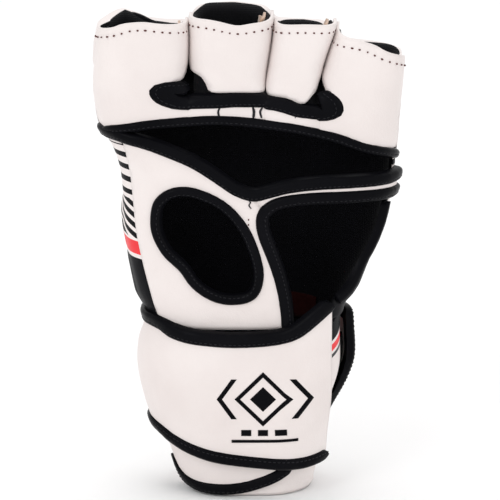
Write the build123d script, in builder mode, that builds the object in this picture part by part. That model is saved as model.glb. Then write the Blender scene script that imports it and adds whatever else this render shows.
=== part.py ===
"""Left-hand open-finger grappling glove: sewn leather panels, bindings, foam pads and a wrist strap.

Frame: millimetres, +Z up along the fingers, palm side towards -Y, thumb side towards -X.
The glove stands on its cuff, so the origin is the middle of its base.
"""

import os

from build123d import *

# ---- driving dimensions ----
LINING = 1.0            # lining cloth
LEATHER = 1.6           # panel leather
FINGER_TOP = 240.0      # above the highest finger lip
FOLD_HEIGHT = 166.0     # level of the knuckle fold line
FOLD_GAP = 1.2          # room between the hand and the finger section at the fold
BINDING = 5.6           # width of a narrow binding
WIDE_BINDING = 7.4      # width of the strap and slot bindings
BINDING_RISE = 0.8      # how far a binding stands proud of its panel
STRAP_THICK = 2.0       # strap leather with its backing
STRAP_HIGH = 86.0       # upper edge of the dorsal strap
STRAP_LOW = 20.0        # lower edge of the dorsal strap
TAB_START = 15.0        # where the closure tab begins
TAB_END_DEPTH = 5.0     # the tab stops this far behind the side line
PART_GAP = 0.5          # room between pieces of different bodies
FOLD_ROOM = 3.0         # room round the finger section's hem, which swings past the palm's edge
SIDE_ROOM = 4.0         # room between that hem's ends and the back of the hand
HOOK_THICK = 1.0        # each half of the hook-and-loop closure
HOOK_GAP = 0.3          # room between the two halves
FINGER_DEPTH = 20.8     # back face of the finger tubes
FINGER_FRONT = -24.8    # front face of the finger tubes
TUBE_CORNER = 13.0      # corner radius of a finger tube
PAD_START = 92.5        # lower edge of the padded back
CUFF_TOP = 83.5         # upper edge of the cuff, hidden below the strap
CUFF_SPLIT = 19.0       # where the cuff's palm piece meets its back piece
CUFF_HEM_CORNER = -6.0  # the back piece passes under the hem up to here
CUFF_HEM_END = 12.0     # the palm piece's hem leaves the thumb side at this height
EMBLEM_X = 8.0          # middle of the printed mark
EMBLEM_Z = 47.0
EMBLEM_SIZE = 32.0      # across the corners of the printed mark
EMBLEM_THICK = 0.4
LABEL_THICK = 0.5
LABEL_SIDES = (20.0, 34.0)      # woven label inside the back, across
LABEL_LEVELS = (76.0, 90.0)     # and up
WEB_DEPTHS = (-8.0, 5.0)        # leather bridges between the finger tubes, front and back
WEB_LEVELS = (209.0, 219.0)
BAND_LINING_END = 36.0          # the wrist band's inner layer stops short of its free end
BAND_LINING_LEVELS = (30.0, 76.0)
PATCH_INSET = 5.0       # hook and loop patches stay this far inside the tab's start
LOOP_MARGIN = 13.0      # the loop patch below and above the strap's edges
HOOK_MARGIN = 15.0      # the hook patch below and above the tab's edges
HOOK_END = 9.0          # the hook patch stops this far behind the tab's end
PAD_INSET = 4.0         # the back pad stays this far behind the side line
PAD_WRAP = 4.0          # the outer finger pads reach this far round the sides
SLOT_LEVEL = 197.0      # lower end of the middle sleeve
RING_DROP = 4.0         # the ring sleeve ends this much lower
REACH = 70.0            # longer than the glove is deep
ACROSS = 100.0          # wider than the glove's half width
PANEL_SIDE = 80.0       # where the sewing lines leave the glove's sides

OUTER = LINING + LEATHER
BOUND = OUTER + BINDING_RISE
STRAP_LIFT = OUTER + 2 * HOOK_THICK + HOOK_GAP      # inner face of the wrist strap above the hand's hollow
STRAP_OUTER = STRAP_LIFT + STRAP_THICK

# name: (thumb side, little-finger side, height of the tube's lower end)
FINGERS = {
    "index": (-67.5, -29.8, 198.0),
    "middle": (-28.4, 11.2, 203.0),
    "ring": (12.6, 41.2, 203.0),
    "pinky": (42.6, 69.0, 198.0),
}

# The hand's hollow, level by level:
# (height, thumb side, little-finger side, palm side, back, corner radius, back padding)
LEVELS = [
    (0.0, -29.5, 27.5, -22.0, 24.0, 20.0, 0.0),
    (18.0, -35.0, 34.5, -24.0, 25.0, 22.0, 0.0),
    (35.0, -41.0, 37.0, -25.0, 25.0, 23.0, 0.0),
    (60.0, -46.5, 42.0, -26.0, 26.0, 24.0, 0.0),
    (88.0, -47.5, 41.5, -26.0, 26.5, 24.0, 0.0),
    (98.0, -52.0, 47.0, -26.5, 27.0, 24.5, 7.0),
    (125.0, -57.0, 60.0, -28.0, 28.0, 25.0, 9.0),
    (155.0, -59.5, 67.0, -27.5, 28.0, 24.0, 9.0),
    (175.0, -65.0, 68.5, -26.5, 26.0, 20.0, 10.0),
    (206.0, -70.0, 70.5, -24.0, 20.0, 15.0, 12.0),
    (FINGER_TOP, -70.5, 71.0, -24.0, 20.0, 15.0, 12.0),
]


# The middle of the glove's depth, which stands over the origin.
back_most = max(back + padding for _, _, _, _, back, _, padding in LEVELS) + OUTER
strap_palm = min(palm for height, _, _, palm, *_ in LEVELS if height <= STRAP_HIGH)
palm_most = strap_palm - STRAP_OUTER - BINDING_RISE
DEPTH_MIDDLE = (back_most + palm_most) / 2


def form(grow, padded=False):
    """The hand form, grown outwards by grow, with the back padding where it is padded."""
    with BuildPart() as body:
        for height, left, right, palm, back, corner, padding in LEVELS:
            depth_back = back + (padding if padded else 0.0)
            with BuildSketch(Plane.XY.offset(height)):
                with Locations(((left + right) / 2, (palm + depth_back) / 2)):
                    RectangleRounded(right - left + 2 * grow, depth_back - palm + 2 * grow, corner + grow)
        loft(ruled=True)
    return body.part


def layer(inner, outer, padded=False):
    """A skin of the form between two offsets."""
    with BuildPart() as skin:
        add(form(outer, padded))
        add(form(inner, padded), mode=Mode.SUBTRACT)
    return skin.part


def block(low, high):
    """A plain block between two corners."""
    with BuildPart() as solid:
        with Locations(low):
            Box(*(b - a for a, b in zip(low, high)), align=(Align.MIN, Align.MIN, Align.MIN))
    return solid.part


def belt(front, back, low, high):
    """A block across the whole width of the glove."""
    return block((-ACROSS, front, low), (ACROSS, back, high))


def strip(points, width, closed=False):
    """A strip of the palm side: a smooth line of the given width, run through the palm half."""
    with BuildPart() as solid:
        with BuildSketch(Plane.XZ):
            with BuildLine():
                Spline(*points, periodic=closed)
            trace(line_width=width)
        extrude(amount=REACH)
    return solid.part


def area(*edges):
    """A region of the palm side bounded by smooth or straight edges, run through the palm half."""
    with BuildPart() as solid:
        with BuildSketch(Plane.XZ):
            with BuildLine():
                for edge in edges:
                    if len(edge) > 2:
                        Spline(*edge)
                    else:
                        Line(*edge)
            make_face()
        extrude(amount=REACH)
    return solid.part


def closed_area(points):
    """A region bounded by one closed smooth line, run through the palm half."""
    with BuildPart() as solid:
        with BuildSketch(Plane.XZ):
            with BuildLine():
                Spline(*points, periodic=True)
            make_face()
        extrude(amount=REACH)
    return solid.part


def polygon_area(points):
    """A region bounded by straight edges, run through the palm half."""
    with BuildPart() as solid:
        with BuildSketch(Plane.XZ):
            with BuildLine():
                Polyline(*points, close=True)
            make_face()
        extrude(amount=REACH)
    return solid.part


def keep(builder, name):
    """Move a finished piece to the glove's own frame, label it and write it."""
    placed = builder.part.moved(Location((0, -DEPTH_MIDDLE, 0)))
    placed.label = name
    export_step(placed, f"parts/{name}.step")


os.makedirs("parts", exist_ok=True)

# ---- shared skins and sewing lines (points are across, up) ----
leather = layer(LINING, OUTER)
bound_edge = layer(LINING, BOUND)
lining_skin = layer(0.0, LINING)
back_skin = layer(LINING, OUTER, padded=True)
strap_skin = layer(STRAP_LIFT, STRAP_OUTER)
strap_edge = layer(STRAP_LIFT, STRAP_OUTER + BINDING_RISE)

PANEL_HEM = [(-80, 171.5), (-71, 175), (-49.7, 184), (-18.9, 186.4), (8.4, 184.4), (40.7, 178), (70, 165),
             (80, 159)]
PALM_OPENING = [(-66, 177), (-46, 172.2), (-30, 168), (-16, 158.5), (-6, 153.6), (2, 151.2), (12, 153.6),
                (25, 156.8), (40.7, 157.9), (56, 156.6), (71, 150.2), (80, 145)]
GRIP_LOWER = [(5.5, 143.8), (22, 148.2), (39, 149.2), (56, 147.6), (71, 142.5), (80, 138.5)]
THUMB_EDGE = [(4.0, 142), (6.5, 133.5), (10, 122.5), (13.7, 112), (16.1, 102), (17.3, 93), (18.2, 86)]
THUMB_SEAM = [(-60.4, 175.2), (-57.2, 161), (-54.5, 130), (-50.0, 108), (-43.2, 84)]
THUMB_HOLE = [(-44.9, 140), (-39.8, 149.4), (-27, 151.8), (-10.5, 143.2), (0.8, 126.4), (4.2, 110.5),
              (-3.2, 99.8), (-16.6, 100.8), (-29.2, 113), (-40.6, 125.3)]
BAND_TOP = [(-60, 90), (-50, 86), (-38, 82), (-15, 80), (2, 80), (16, 82), (31, 89), (40.5, 96)]
BAND_BOTTOM = [(-60, 42), (-46, 33), (-33, 26.5), (-12, 20.7), (8, 18.3), (24, 17.4), (37.5, 17.2)]
OPENING_SIDE = [(40.5, 96.5), (47.5, 104), (54, 113), (61, 127), (65.5, 141)]
CUFF_HEM = [(-38, 12), (-33, 6), (-24, 3.7), (-12, 3.4), (0, 5.0), (12, 9.2), (19, 13.2)]
FINGER_LIPS = [(-80, 223.0), (-75, 225.3), (-52.8, 232.5), (-28.8, 233.4), (-11, 232.4), (0, 233), (12, 236.6),
               (27.8, 235), (42, 229.5), (57.6, 220.5), (74.9, 208.2), (80, 205)]
SLOT = [(-47, 203), (-44, 195), (-33, 191.2), (-2, 191.6), (24, 187), (37, 185.6), (43, 190), (38.3, 198.5),
        (33, 202.5), (25, 196.5), (3.4, 201.4), (-18, 200.6), (-29.4, 209), (-36, 206.3)]
SLOT_SLIT = [(-40, 200.5), (-31, 203.5), (-26, 199), (0, 199.4), (20, 194.8), (27, 194.6), (32, 197.5),
             (34, 193), (22, 191.6), (0, 196.6), (-26, 196.4)]

panel_hem = strip(PANEL_HEM, BINDING)
palm_opening = strip(PALM_OPENING, BINDING)
grip_lower = strip(GRIP_LOWER, WIDE_BINDING)
thumb_edge = strip(THUMB_EDGE, WIDE_BINDING)
band_top = strip(BAND_TOP, WIDE_BINDING)
band_bottom = strip(BAND_BOTTOM, WIDE_BINDING)
cuff_hem = strip(CUFF_HEM, WIDE_BINDING)
thumb_hole = closed_area(THUMB_HOLE)
thumb_hole_edge = strip(THUMB_HOLE, BINDING, closed=True)
slot_outer = closed_area(SLOT)
palm_half = belt(-REACH, 0, -1, FINGER_TOP + 1)
back_half = belt(0, REACH, 0, FINGER_TOP)
above_fold = belt(-REACH, REACH, FOLD_HEIGHT + FOLD_GAP, FINGER_TOP + 1)

with BuildPart() as below_lips_build:
    with BuildSketch(Plane.XZ):
        with BuildLine():
            Spline(*FINGER_LIPS)
            Polyline(FINGER_LIPS[-1], (PANEL_SIDE, CUFF_TOP), (-PANEL_SIDE, CUFF_TOP), FINGER_LIPS[0])
        make_face()
    extrude(amount=REACH, both=True)
below_lips = below_lips_build.part

# ---- finger section ----
with BuildPart() as panel_field_build:
    right_top, left_top = (PANEL_SIDE, FINGER_TOP + 10), (-PANEL_SIDE, FINGER_TOP + 10)
    add(area(PANEL_HEM, (PANEL_HEM[-1], right_top), (right_top, left_top), (left_top, PANEL_HEM[0])))
    add(panel_hem, mode=Mode.SUBTRACT)
    add(slot_outer, mode=Mode.SUBTRACT)
    add(below_lips, mode=Mode.INTERSECT)
panel_field = panel_field_build.part
middle_left = (FINGERS["index"][1] + FINGERS["middle"][0]) / 2
middle_right = (FINGERS["middle"][1] + FINGERS["ring"][0]) / 2
ring_right = (FINGERS["ring"][1] + FINGERS["pinky"][0]) / 2
middle_column = block((middle_left, -REACH, SLOT_LEVEL), (middle_right, 0, FINGER_TOP))
ring_column = block((middle_right, -REACH, SLOT_LEVEL - RING_DROP), (ring_right, 0, FINGER_TOP))

with BuildPart() as finger_panel:
    add(leather)
    add(panel_field, mode=Mode.INTERSECT)
    add(middle_column, mode=Mode.SUBTRACT)
    add(ring_column, mode=Mode.SUBTRACT)
keep(finger_panel, "finger_panel")

with BuildPart() as middle_sleeve:
    add(leather)
    add(panel_field, mode=Mode.INTERSECT)
    add(middle_column, mode=Mode.INTERSECT)
keep(middle_sleeve, "middle_sleeve")

with BuildPart() as ring_sleeve:
    add(leather)
    add(panel_field, mode=Mode.INTERSECT)
    add(ring_column, mode=Mode.INTERSECT)
keep(ring_sleeve, "ring_sleeve")

with BuildPart() as slot_binding:
    add(bound_edge)
    add(slot_outer, mode=Mode.INTERSECT)
    add(polygon_area(SLOT_SLIT), mode=Mode.SUBTRACT)
keep(slot_binding, "slot_binding")

with BuildPart() as finger_panel_binding:
    add(bound_edge)
    add(panel_hem, mode=Mode.INTERSECT)
    add(belt(-REACH, -SIDE_ROOM, CUFF_TOP, FINGER_TOP), mode=Mode.INTERSECT)
keep(finger_panel_binding, "finger_panel_binding")

finger_back_hollow = form(LINING, padded=True)
for finger, (left, right, tube_end) in FINGERS.items():
    centre = ((left + right) / 2, (FINGER_FRONT + FINGER_DEPTH) / 2)
    with BuildPart() as tube:
        with BuildSketch(Plane.XY.offset(tube_end)):
            with Locations(centre):
                RectangleRounded(right - left, FINGER_DEPTH - FINGER_FRONT, TUBE_CORNER)
                RectangleRounded(right - left - 2 * LINING, FINGER_DEPTH - FINGER_FRONT - 2 * LINING,
                                 TUBE_CORNER - LINING, mode=Mode.SUBTRACT)
        extrude(amount=FINGER_TOP - tube_end)
        add(below_lips, mode=Mode.INTERSECT)
    keep(tube, f"{finger}_lining")
    with BuildPart() as pad:
        pad_left = left - (PAD_WRAP if finger == "index" else 0)
        pad_right = right + (PAD_WRAP if finger == "pinky" else 0)
        add(block((pad_left, FINGER_DEPTH, FOLD_HEIGHT + FOLD_GAP), (pad_right, REACH, FINGER_TOP)))
        add(finger_back_hollow, mode=Mode.INTERSECT)
        add(form(LINING), mode=Mode.SUBTRACT)
        add(below_lips, mode=Mode.INTERSECT)
    keep(pad, f"{finger}_pad")

with BuildPart() as finger_back_cover:
    add(back_skin)
    add(back_half, mode=Mode.INTERSECT)
    add(above_fold, mode=Mode.INTERSECT)
    add(below_lips, mode=Mode.INTERSECT)
keep(finger_back_cover, "finger_back_cover")

with BuildPart() as knuckle_lining:
    add(lining_skin)
    add(belt(0, REACH, FOLD_HEIGHT + FOLD_GAP, FINGERS["index"][2] - 1), mode=Mode.INTERSECT)
keep(knuckle_lining, "knuckle_lining")

neighbours = [("index", "middle"), ("middle", "ring"), ("ring", "pinky")]
for near, far in neighbours:
    with BuildPart() as web:
        add(block((FINGERS[near][1], WEB_DEPTHS[0], WEB_LEVELS[0]),
                  (FINGERS[far][0], WEB_DEPTHS[1], WEB_LEVELS[1])))
    keep(web, f"{near}_{far}_web")

# ---- back of the hand ----
with BuildPart() as thumb_strip_build:
    side_low, side_high = (-ACROSS, THUMB_SEAM[-1][1]), (-ACROSS, THUMB_SEAM[0][1])
    add(area(THUMB_SEAM, (THUMB_SEAM[-1], side_low), (side_low, side_high), (side_high, THUMB_SEAM[0])))
thumb_strip = thumb_strip_build.part

with BuildPart() as back_cover:
    add(back_skin)
    add(belt(0, REACH, PAD_START, FOLD_HEIGHT), mode=Mode.INTERSECT)
keep(back_cover, "back_cover")

with BuildPart() as back_pad:
    add(form(LINING, padded=True))
    add(form(LINING), mode=Mode.SUBTRACT)
    add(belt(PAD_INSET, REACH, PAD_START, FOLD_HEIGHT), mode=Mode.INTERSECT)
keep(back_pad, "back_pad")

with BuildPart() as back_lining:
    add(lining_skin)
    add(belt(0, REACH, CUFF_HEM_END, FOLD_HEIGHT), mode=Mode.INTERSECT)
keep(back_lining, "back_lining")

with BuildPart() as thumb_side_panel:
    add(leather)
    add(thumb_strip, mode=Mode.INTERSECT)
    add(belt(-REACH, 0, CUFF_TOP, FOLD_HEIGHT), mode=Mode.INTERSECT)
keep(thumb_side_panel, "thumb_side_panel")

with BuildPart() as opening_side_binding:
    add(bound_edge)
    add(strip(OPENING_SIDE, BINDING), mode=Mode.INTERSECT)
    add(grip_lower, mode=Mode.SUBTRACT)
    add(palm_half, mode=Mode.INTERSECT)
keep(opening_side_binding, "opening_side_binding")

# ---- palm ----
with BuildPart() as thumb_panel:
    add(leather)
    add(area(THUMB_SEAM, (THUMB_SEAM[-1], THUMB_EDGE[-1]), THUMB_EDGE[::-1], (THUMB_EDGE[0], PALM_OPENING[5]),
             PALM_OPENING[5:0:-1] + THUMB_SEAM[:1]), mode=Mode.INTERSECT)
    add(palm_opening, mode=Mode.SUBTRACT)
    add(thumb_edge, mode=Mode.SUBTRACT)
    add(thumb_hole, mode=Mode.SUBTRACT)
    add(thumb_hole_edge, mode=Mode.SUBTRACT)
keep(thumb_panel, "thumb_panel")

with BuildPart() as thumb_hole_binding:
    add(bound_edge)
    add(thumb_hole_edge, mode=Mode.INTERSECT)
keep(thumb_hole_binding, "thumb_hole_binding")

with BuildPart() as palm_opening_binding:
    add(bound_edge)
    add(palm_opening, mode=Mode.INTERSECT)
    add(palm_half, mode=Mode.INTERSECT)
    add(strip(PANEL_HEM, BINDING + 2 * FOLD_ROOM), mode=Mode.SUBTRACT)
keep(palm_opening_binding, "palm_opening_binding")

with BuildPart() as grip_strap:
    add(leather)
    add(area(PALM_OPENING[5:], (PALM_OPENING[-1], GRIP_LOWER[-1]), GRIP_LOWER[::-1],
             (GRIP_LOWER[0], PALM_OPENING[5])), mode=Mode.INTERSECT)
    add(palm_opening, mode=Mode.SUBTRACT)
    add(grip_lower, mode=Mode.SUBTRACT)
    add(thumb_edge, mode=Mode.SUBTRACT)
keep(grip_strap, "grip_strap")

with BuildPart() as lower_edge:
    add(grip_lower)
    add(thumb_edge)

with BuildPart() as lower_opening_binding:
    add(bound_edge)
    add(lower_edge.part, mode=Mode.INTERSECT)
    add(palm_opening, mode=Mode.SUBTRACT)
    add(palm_half, mode=Mode.INTERSECT)
keep(lower_opening_binding, "lower_opening_binding")

# ---- cuff and the palm span of the wrist strap ----
with BuildPart() as cuff_field_build:
    top_right, top_left = (CUFF_SPLIT, CUFF_TOP), (-PANEL_SIDE, CUFF_TOP)
    low_left = (-PANEL_SIDE, CUFF_HEM_END)
    add(area(CUFF_HEM, (CUFF_HEM[-1], top_right), (top_right, top_left), (top_left, low_left),
             (low_left, CUFF_HEM[0])))
cuff_field = cuff_field_build.part

with BuildPart() as cuff_palm:
    add(leather)
    add(cuff_field, mode=Mode.INTERSECT)
    add(cuff_hem, mode=Mode.SUBTRACT)
keep(cuff_palm, "cuff_palm")

with BuildPart() as cuff_palm_binding:
    add(bound_edge)
    add(cuff_hem, mode=Mode.INTERSECT)
keep(cuff_palm_binding, "cuff_palm_binding")

with BuildPart() as cuff_back:
    add(leather)
    add(belt(-REACH, REACH, 0, PAD_START - PART_GAP), mode=Mode.INTERSECT)
    add(belt(-REACH, 0, CUFF_TOP, PAD_START), mode=Mode.SUBTRACT)
    add(block((-ACROSS, -REACH, -1), (CUFF_HEM_CORNER, 0, CUFF_HEM_END)), mode=Mode.SUBTRACT)
    add(cuff_field, mode=Mode.SUBTRACT)
    add(cuff_hem, mode=Mode.SUBTRACT)
keep(cuff_back, "cuff_back")

with BuildPart() as cuff_lining:
    add(lining_skin)
    add(belt(-REACH, 0, CUFF_HEM_END, CUFF_TOP), mode=Mode.INTERSECT)
keep(cuff_lining, "cuff_lining")

with BuildPart() as wrist_band:
    add(strap_skin)
    add(area(BAND_TOP, (BAND_TOP[-1], BAND_BOTTOM[-1]), BAND_BOTTOM[::-1], (BAND_BOTTOM[0], BAND_TOP[0])),
        mode=Mode.INTERSECT)
    add(band_top, mode=Mode.SUBTRACT)
    add(band_bottom, mode=Mode.SUBTRACT)
keep(wrist_band, "wrist_band")

with BuildPart() as wrist_band_top_binding:
    add(strap_edge)
    add(band_top, mode=Mode.INTERSECT)
keep(wrist_band_top_binding, "wrist_band_top_binding")

with BuildPart() as wrist_band_bottom_binding:
    add(strap_edge)
    add(band_bottom, mode=Mode.INTERSECT)
keep(wrist_band_bottom_binding, "wrist_band_bottom_binding")

with BuildPart() as wrist_band_lining:
    add(layer(OUTER, STRAP_LIFT))
    add(block((-ACROSS, -REACH, BAND_LINING_LEVELS[0]), (BAND_LINING_END, 0, BAND_LINING_LEVELS[1])),
        mode=Mode.INTERSECT)
keep(wrist_band_lining, "wrist_band_lining")

with BuildPart() as emblem_patch:
    add(layer(STRAP_OUTER, STRAP_OUTER + EMBLEM_THICK))
    add(polygon_area([(EMBLEM_X - EMBLEM_SIZE / 2, EMBLEM_Z), (EMBLEM_X, EMBLEM_Z - EMBLEM_SIZE / 2),
                      (EMBLEM_X + EMBLEM_SIZE / 2, EMBLEM_Z), (EMBLEM_X, EMBLEM_Z + EMBLEM_SIZE / 2)]),
        mode=Mode.INTERSECT)
keep(emblem_patch, "emblem_patch")

# ---- hook-and-loop closure and the free span of the wrist strap ----
with BuildPart() as loop_patch:
    add(layer(OUTER, OUTER + HOOK_THICK))
    add(block((TAB_START - PATCH_INSET, TAB_END_DEPTH + HOOK_THICK, STRAP_LOW + LOOP_MARGIN),
              (ACROSS, REACH, STRAP_HIGH - LOOP_MARGIN)), mode=Mode.INTERSECT)
keep(loop_patch, "loop_patch")

strap_space = block((-ACROSS, PART_GAP, STRAP_LOW), (TAB_START - PART_GAP, REACH, STRAP_HIGH))
strap_middle = belt(0, REACH, STRAP_LOW + WIDE_BINDING, STRAP_HIGH - WIDE_BINDING)
strap_upper = belt(0, REACH, STRAP_HIGH - WIDE_BINDING, STRAP_HIGH)
strap_lower = belt(0, REACH, STRAP_LOW, STRAP_LOW + WIDE_BINDING)

with BuildPart() as strap_back:
    add(strap_skin)
    add(strap_space, mode=Mode.INTERSECT)
    add(strap_middle, mode=Mode.INTERSECT)
keep(strap_back, "strap_back")

with BuildPart() as strap_back_top_binding:
    add(strap_edge)
    add(strap_space, mode=Mode.INTERSECT)
    add(strap_upper, mode=Mode.INTERSECT)
keep(strap_back_top_binding, "strap_back_top_binding")

with BuildPart() as strap_back_bottom_binding:
    add(strap_edge)
    add(strap_space, mode=Mode.INTERSECT)
    add(strap_lower, mode=Mode.INTERSECT)
keep(strap_back_bottom_binding, "strap_back_bottom_binding")

tab_space = block((TAB_START, TAB_END_DEPTH, STRAP_LOW), (ACROSS, REACH, STRAP_HIGH))
tab_field = block((TAB_START, TAB_END_DEPTH + WIDE_BINDING, STRAP_LOW + WIDE_BINDING),
                  (ACROSS, REACH, STRAP_HIGH - WIDE_BINDING))

with BuildPart() as strap_tab:
    add(strap_skin)
    add(tab_field, mode=Mode.INTERSECT)
keep(strap_tab, "strap_tab")

with BuildPart() as strap_tab_binding:
    add(strap_edge)
    add(tab_space, mode=Mode.INTERSECT)
    add(tab_field, mode=Mode.SUBTRACT)
keep(strap_tab_binding, "strap_tab_binding")

with BuildPart() as hook_patch:
    add(layer(STRAP_LIFT - HOOK_THICK, STRAP_LIFT))
    add(block((TAB_START + PATCH_INSET, TAB_END_DEPTH + HOOK_END, STRAP_LOW + HOOK_MARGIN),
              (ACROSS, REACH, STRAP_HIGH - HOOK_MARGIN)), mode=Mode.INTERSECT)
keep(hook_patch, "hook_patch")

with BuildPart() as inner_label:
    add(layer(-LABEL_THICK, 0.0))
    add(block((LABEL_SIDES[0], 0, LABEL_LEVELS[0]), (LABEL_SIDES[1], REACH, LABEL_LEVELS[1])),
        mode=Mode.INTERSECT)
keep(inner_label, "inner_label")
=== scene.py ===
import math

import bmesh
import bpy
import numpy as np
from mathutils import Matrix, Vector, noise
from mathutils.geometry import delaunay_2d_cdt


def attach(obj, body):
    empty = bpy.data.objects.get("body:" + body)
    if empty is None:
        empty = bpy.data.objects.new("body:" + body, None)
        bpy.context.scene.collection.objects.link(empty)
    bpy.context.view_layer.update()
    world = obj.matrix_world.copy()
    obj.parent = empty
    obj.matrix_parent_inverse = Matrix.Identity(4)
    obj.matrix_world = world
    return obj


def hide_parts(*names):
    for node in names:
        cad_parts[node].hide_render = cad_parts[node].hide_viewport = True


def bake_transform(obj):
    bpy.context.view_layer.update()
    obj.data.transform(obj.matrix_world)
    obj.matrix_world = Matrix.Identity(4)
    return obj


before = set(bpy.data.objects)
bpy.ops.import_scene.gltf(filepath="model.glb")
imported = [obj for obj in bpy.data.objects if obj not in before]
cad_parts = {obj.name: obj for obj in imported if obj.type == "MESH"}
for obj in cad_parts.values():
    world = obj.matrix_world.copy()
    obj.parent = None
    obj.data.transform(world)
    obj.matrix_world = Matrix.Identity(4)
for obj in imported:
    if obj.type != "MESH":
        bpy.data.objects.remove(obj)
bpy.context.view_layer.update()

# Lengths below are millimetres; meshes are written in metres.
MM = 0.001

# ---------------------------------------------------------------- the hand form
# (height, thumb side, little-finger side, palm side, back, corner radius, back padding)
LEVELS = [
    (-2, -29.0, 27.0, -22.0, 24.0, 20.0, 0.0),
    (9, -32.4, 30.4, -23.0, 24.6, 21.0, 0.0),
    (18, -35.0, 31.8, -24.0, 25.0, 22.0, 0.0),
    (35, -41.0, 34.5, -25.0, 25.0, 23.0, 0.0),
    (60, -46.5, 41.8, -26.0, 26.0, 24.0, 0.0),
    (84, -46.4, 42.0, -26.0, 26.5, 24.0, 1.0),
    (98, -52.2, 46.5, -26.5, 27.0, 24.5, 7.0),
    (125, -57.2, 59.6, -28.0, 28.0, 25.0, 9.0),
    (155, -59.2, 66.4, -27.5, 28.0, 24.0, 9.0),
    (168, -62.6, 67.2, -26.8, 26.8, 21.5, 9.6),
    (181, -69.0, 67.6, -26.2, 25.0, 18.5, 10.4),
    (206, -71.6, 69.8, -24.5, 20.0, 15.0, 12.0),
    (242, -69.0, 72.5, -24.0, 20.0, 15.0, 12.0),
]
LEATHER_IN, LEATHER_OUT = 1.0, 2.6
STRAP_IN, STRAP_OUT = 4.9, 6.9
ARC_GROW = 2.0          # the offset at which distances across the form are measured
FOLD_HEIGHT = 166.6
DEPTH_MIDDLE = 2.95     # the middle of the form's depth, which stands over the frame's origin


def smooth(a, b, value):
    """0 below a, 1 above b, and a smooth rise between."""
    t = min(1.0, max(0.0, (value - a) / (b - a)))
    return t * t * (3 - 2 * t)


def level(height):
    """The form's sizes at a height, on a smooth curve through LEVELS."""
    height = min(LEVELS[-1][0] - 1e-6, max(LEVELS[0][0], height))
    k = max(i for i in range(len(LEVELS) - 1) if LEVELS[i][0] <= height)
    z1, z2 = LEVELS[k][0], LEVELS[k + 1][0]
    t = (height - z1) / (z2 - z1)
    before = LEVELS[max(0, k - 1)]
    after = LEVELS[min(len(LEVELS) - 1, k + 2)]
    sizes = []
    for i in range(1, 7):
        p1, p2 = LEVELS[k][i], LEVELS[k + 1][i]
        m1 = (p2 - before[i]) / (z2 - before[0]) * (z2 - z1)
        m2 = (after[i] - p1) / (after[0] - z1) * (z2 - z1)
        h1 = 2 * t ** 3 - 3 * t ** 2 + 1
        sizes.append(h1 * p1 + (t ** 3 - 2 * t ** 2 + t) * m1 + (1 - h1) * p2 + (t ** 3 - t ** 2) * m2)
    return sizes


def plan(z, padded=False):
    """A level's middle, half the width of its flat, its palm and back depths, and its corner radius."""
    left, right, palm, back, corner, padding = level(z)
    return (left + right) / 2, (right - left) / 2 - corner, palm, back + (padding if padded else 0.0), corner


def wrap(w, z, grow, padded=False):
    """The form's surface: w runs round it from the middle of the palm (+ is the little-finger side)."""
    centre, flat, palm, back, corner = plan(z, padded)
    side = 1.0 if w >= centre else -1.0
    arc = math.pi / 2 * (corner + ARC_GROW)
    wall = back - palm - 2 * corner
    radius = corner + grow
    u = abs(w - centre)
    if u <= flat:
        return Vector((w, palm - grow, z))
    u -= flat
    if u <= arc:
        a = u / (corner + ARC_GROW)
        return Vector((centre + side * (flat + radius * math.sin(a)), palm + corner - radius * math.cos(a), z))
    u -= arc
    if u <= wall:
        return Vector((centre + side * (flat + radius), palm + corner + u, z))
    u -= wall
    if u <= arc:
        a = u / (corner + ARC_GROW)
        return Vector((centre + side * (flat + radius * math.cos(a)), back - corner + radius * math.sin(a), z))
    return Vector((centre + side * (flat - (u - arc)), back + grow, z))


def side_line(z, side, y=0.0):
    """The w of the form's side wall at depth y."""
    centre, flat, palm, _, corner = plan(z)
    return centre + side * (flat + math.pi / 2 * (corner + ARC_GROW) + (y - palm - corner))


def back_w(x, z, side, padded=False):
    """The w of the back's point x, measured round one side."""
    centre, flat, palm, back, corner = plan(z, padded)
    whole = flat + math.pi * (corner + ARC_GROW) + (back - palm - 2 * corner)
    return centre + side * (whole + flat - side * (x - centre))


def unroll(x, z, grow=ARC_GROW):
    """The w of the palm side's point at x on the surface offset by grow."""
    centre, flat, _, _, corner = plan(z)
    u = abs(x - centre)
    if u <= flat:
        return x
    a = math.asin(min(1.0, (u - flat) / (corner + grow)))
    return centre + math.copysign(flat + (corner + ARC_GROW) * a, x - centre)


# ---------------------------------------------------------------- the finger fronts
# c counts across the fingers: 0 to 1 is the index finger and 3 to 4 the little finger
TUBE_LOW, TUBE_HIGH = 202.0, 234.0
TUBE_EDGES_LOW = (-74.2, -29.0, 7.4, 32.6, 72.4)
TUBE_EDGES_HIGH = (-71.8, -29.0, 11.6, 42.4, 75.4)
TUBE_FRONT = (-28.2, -25.6, -25.2, -26.6)
TUBE_BACK = 20.5
TUBE_MIDDLE = -1.0
TUBE_MERGE = (190, 212)     # the form turns into tubes between these heights
SQUARENESS = 4.2


def tube_edges(z):
    """The seams between the tubes at a height, from the thumb side."""
    t = (z - TUBE_LOW) / (TUBE_HIGH - TUBE_LOW)
    t = min(1.2, max(0.0, t))
    return [a + (b - a) * t for a, b in zip(TUBE_EDGES_LOW, TUBE_EDGES_HIGH)]


def squared(angle):
    """A point of a unit square with round corners, seen at an angle."""
    s, c = math.sin(angle), math.cos(angle)
    size = (abs(s) ** SQUARENESS + abs(c) ** SQUARENESS) ** (-1 / SQUARENESS)
    return s * size, c * size


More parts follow.
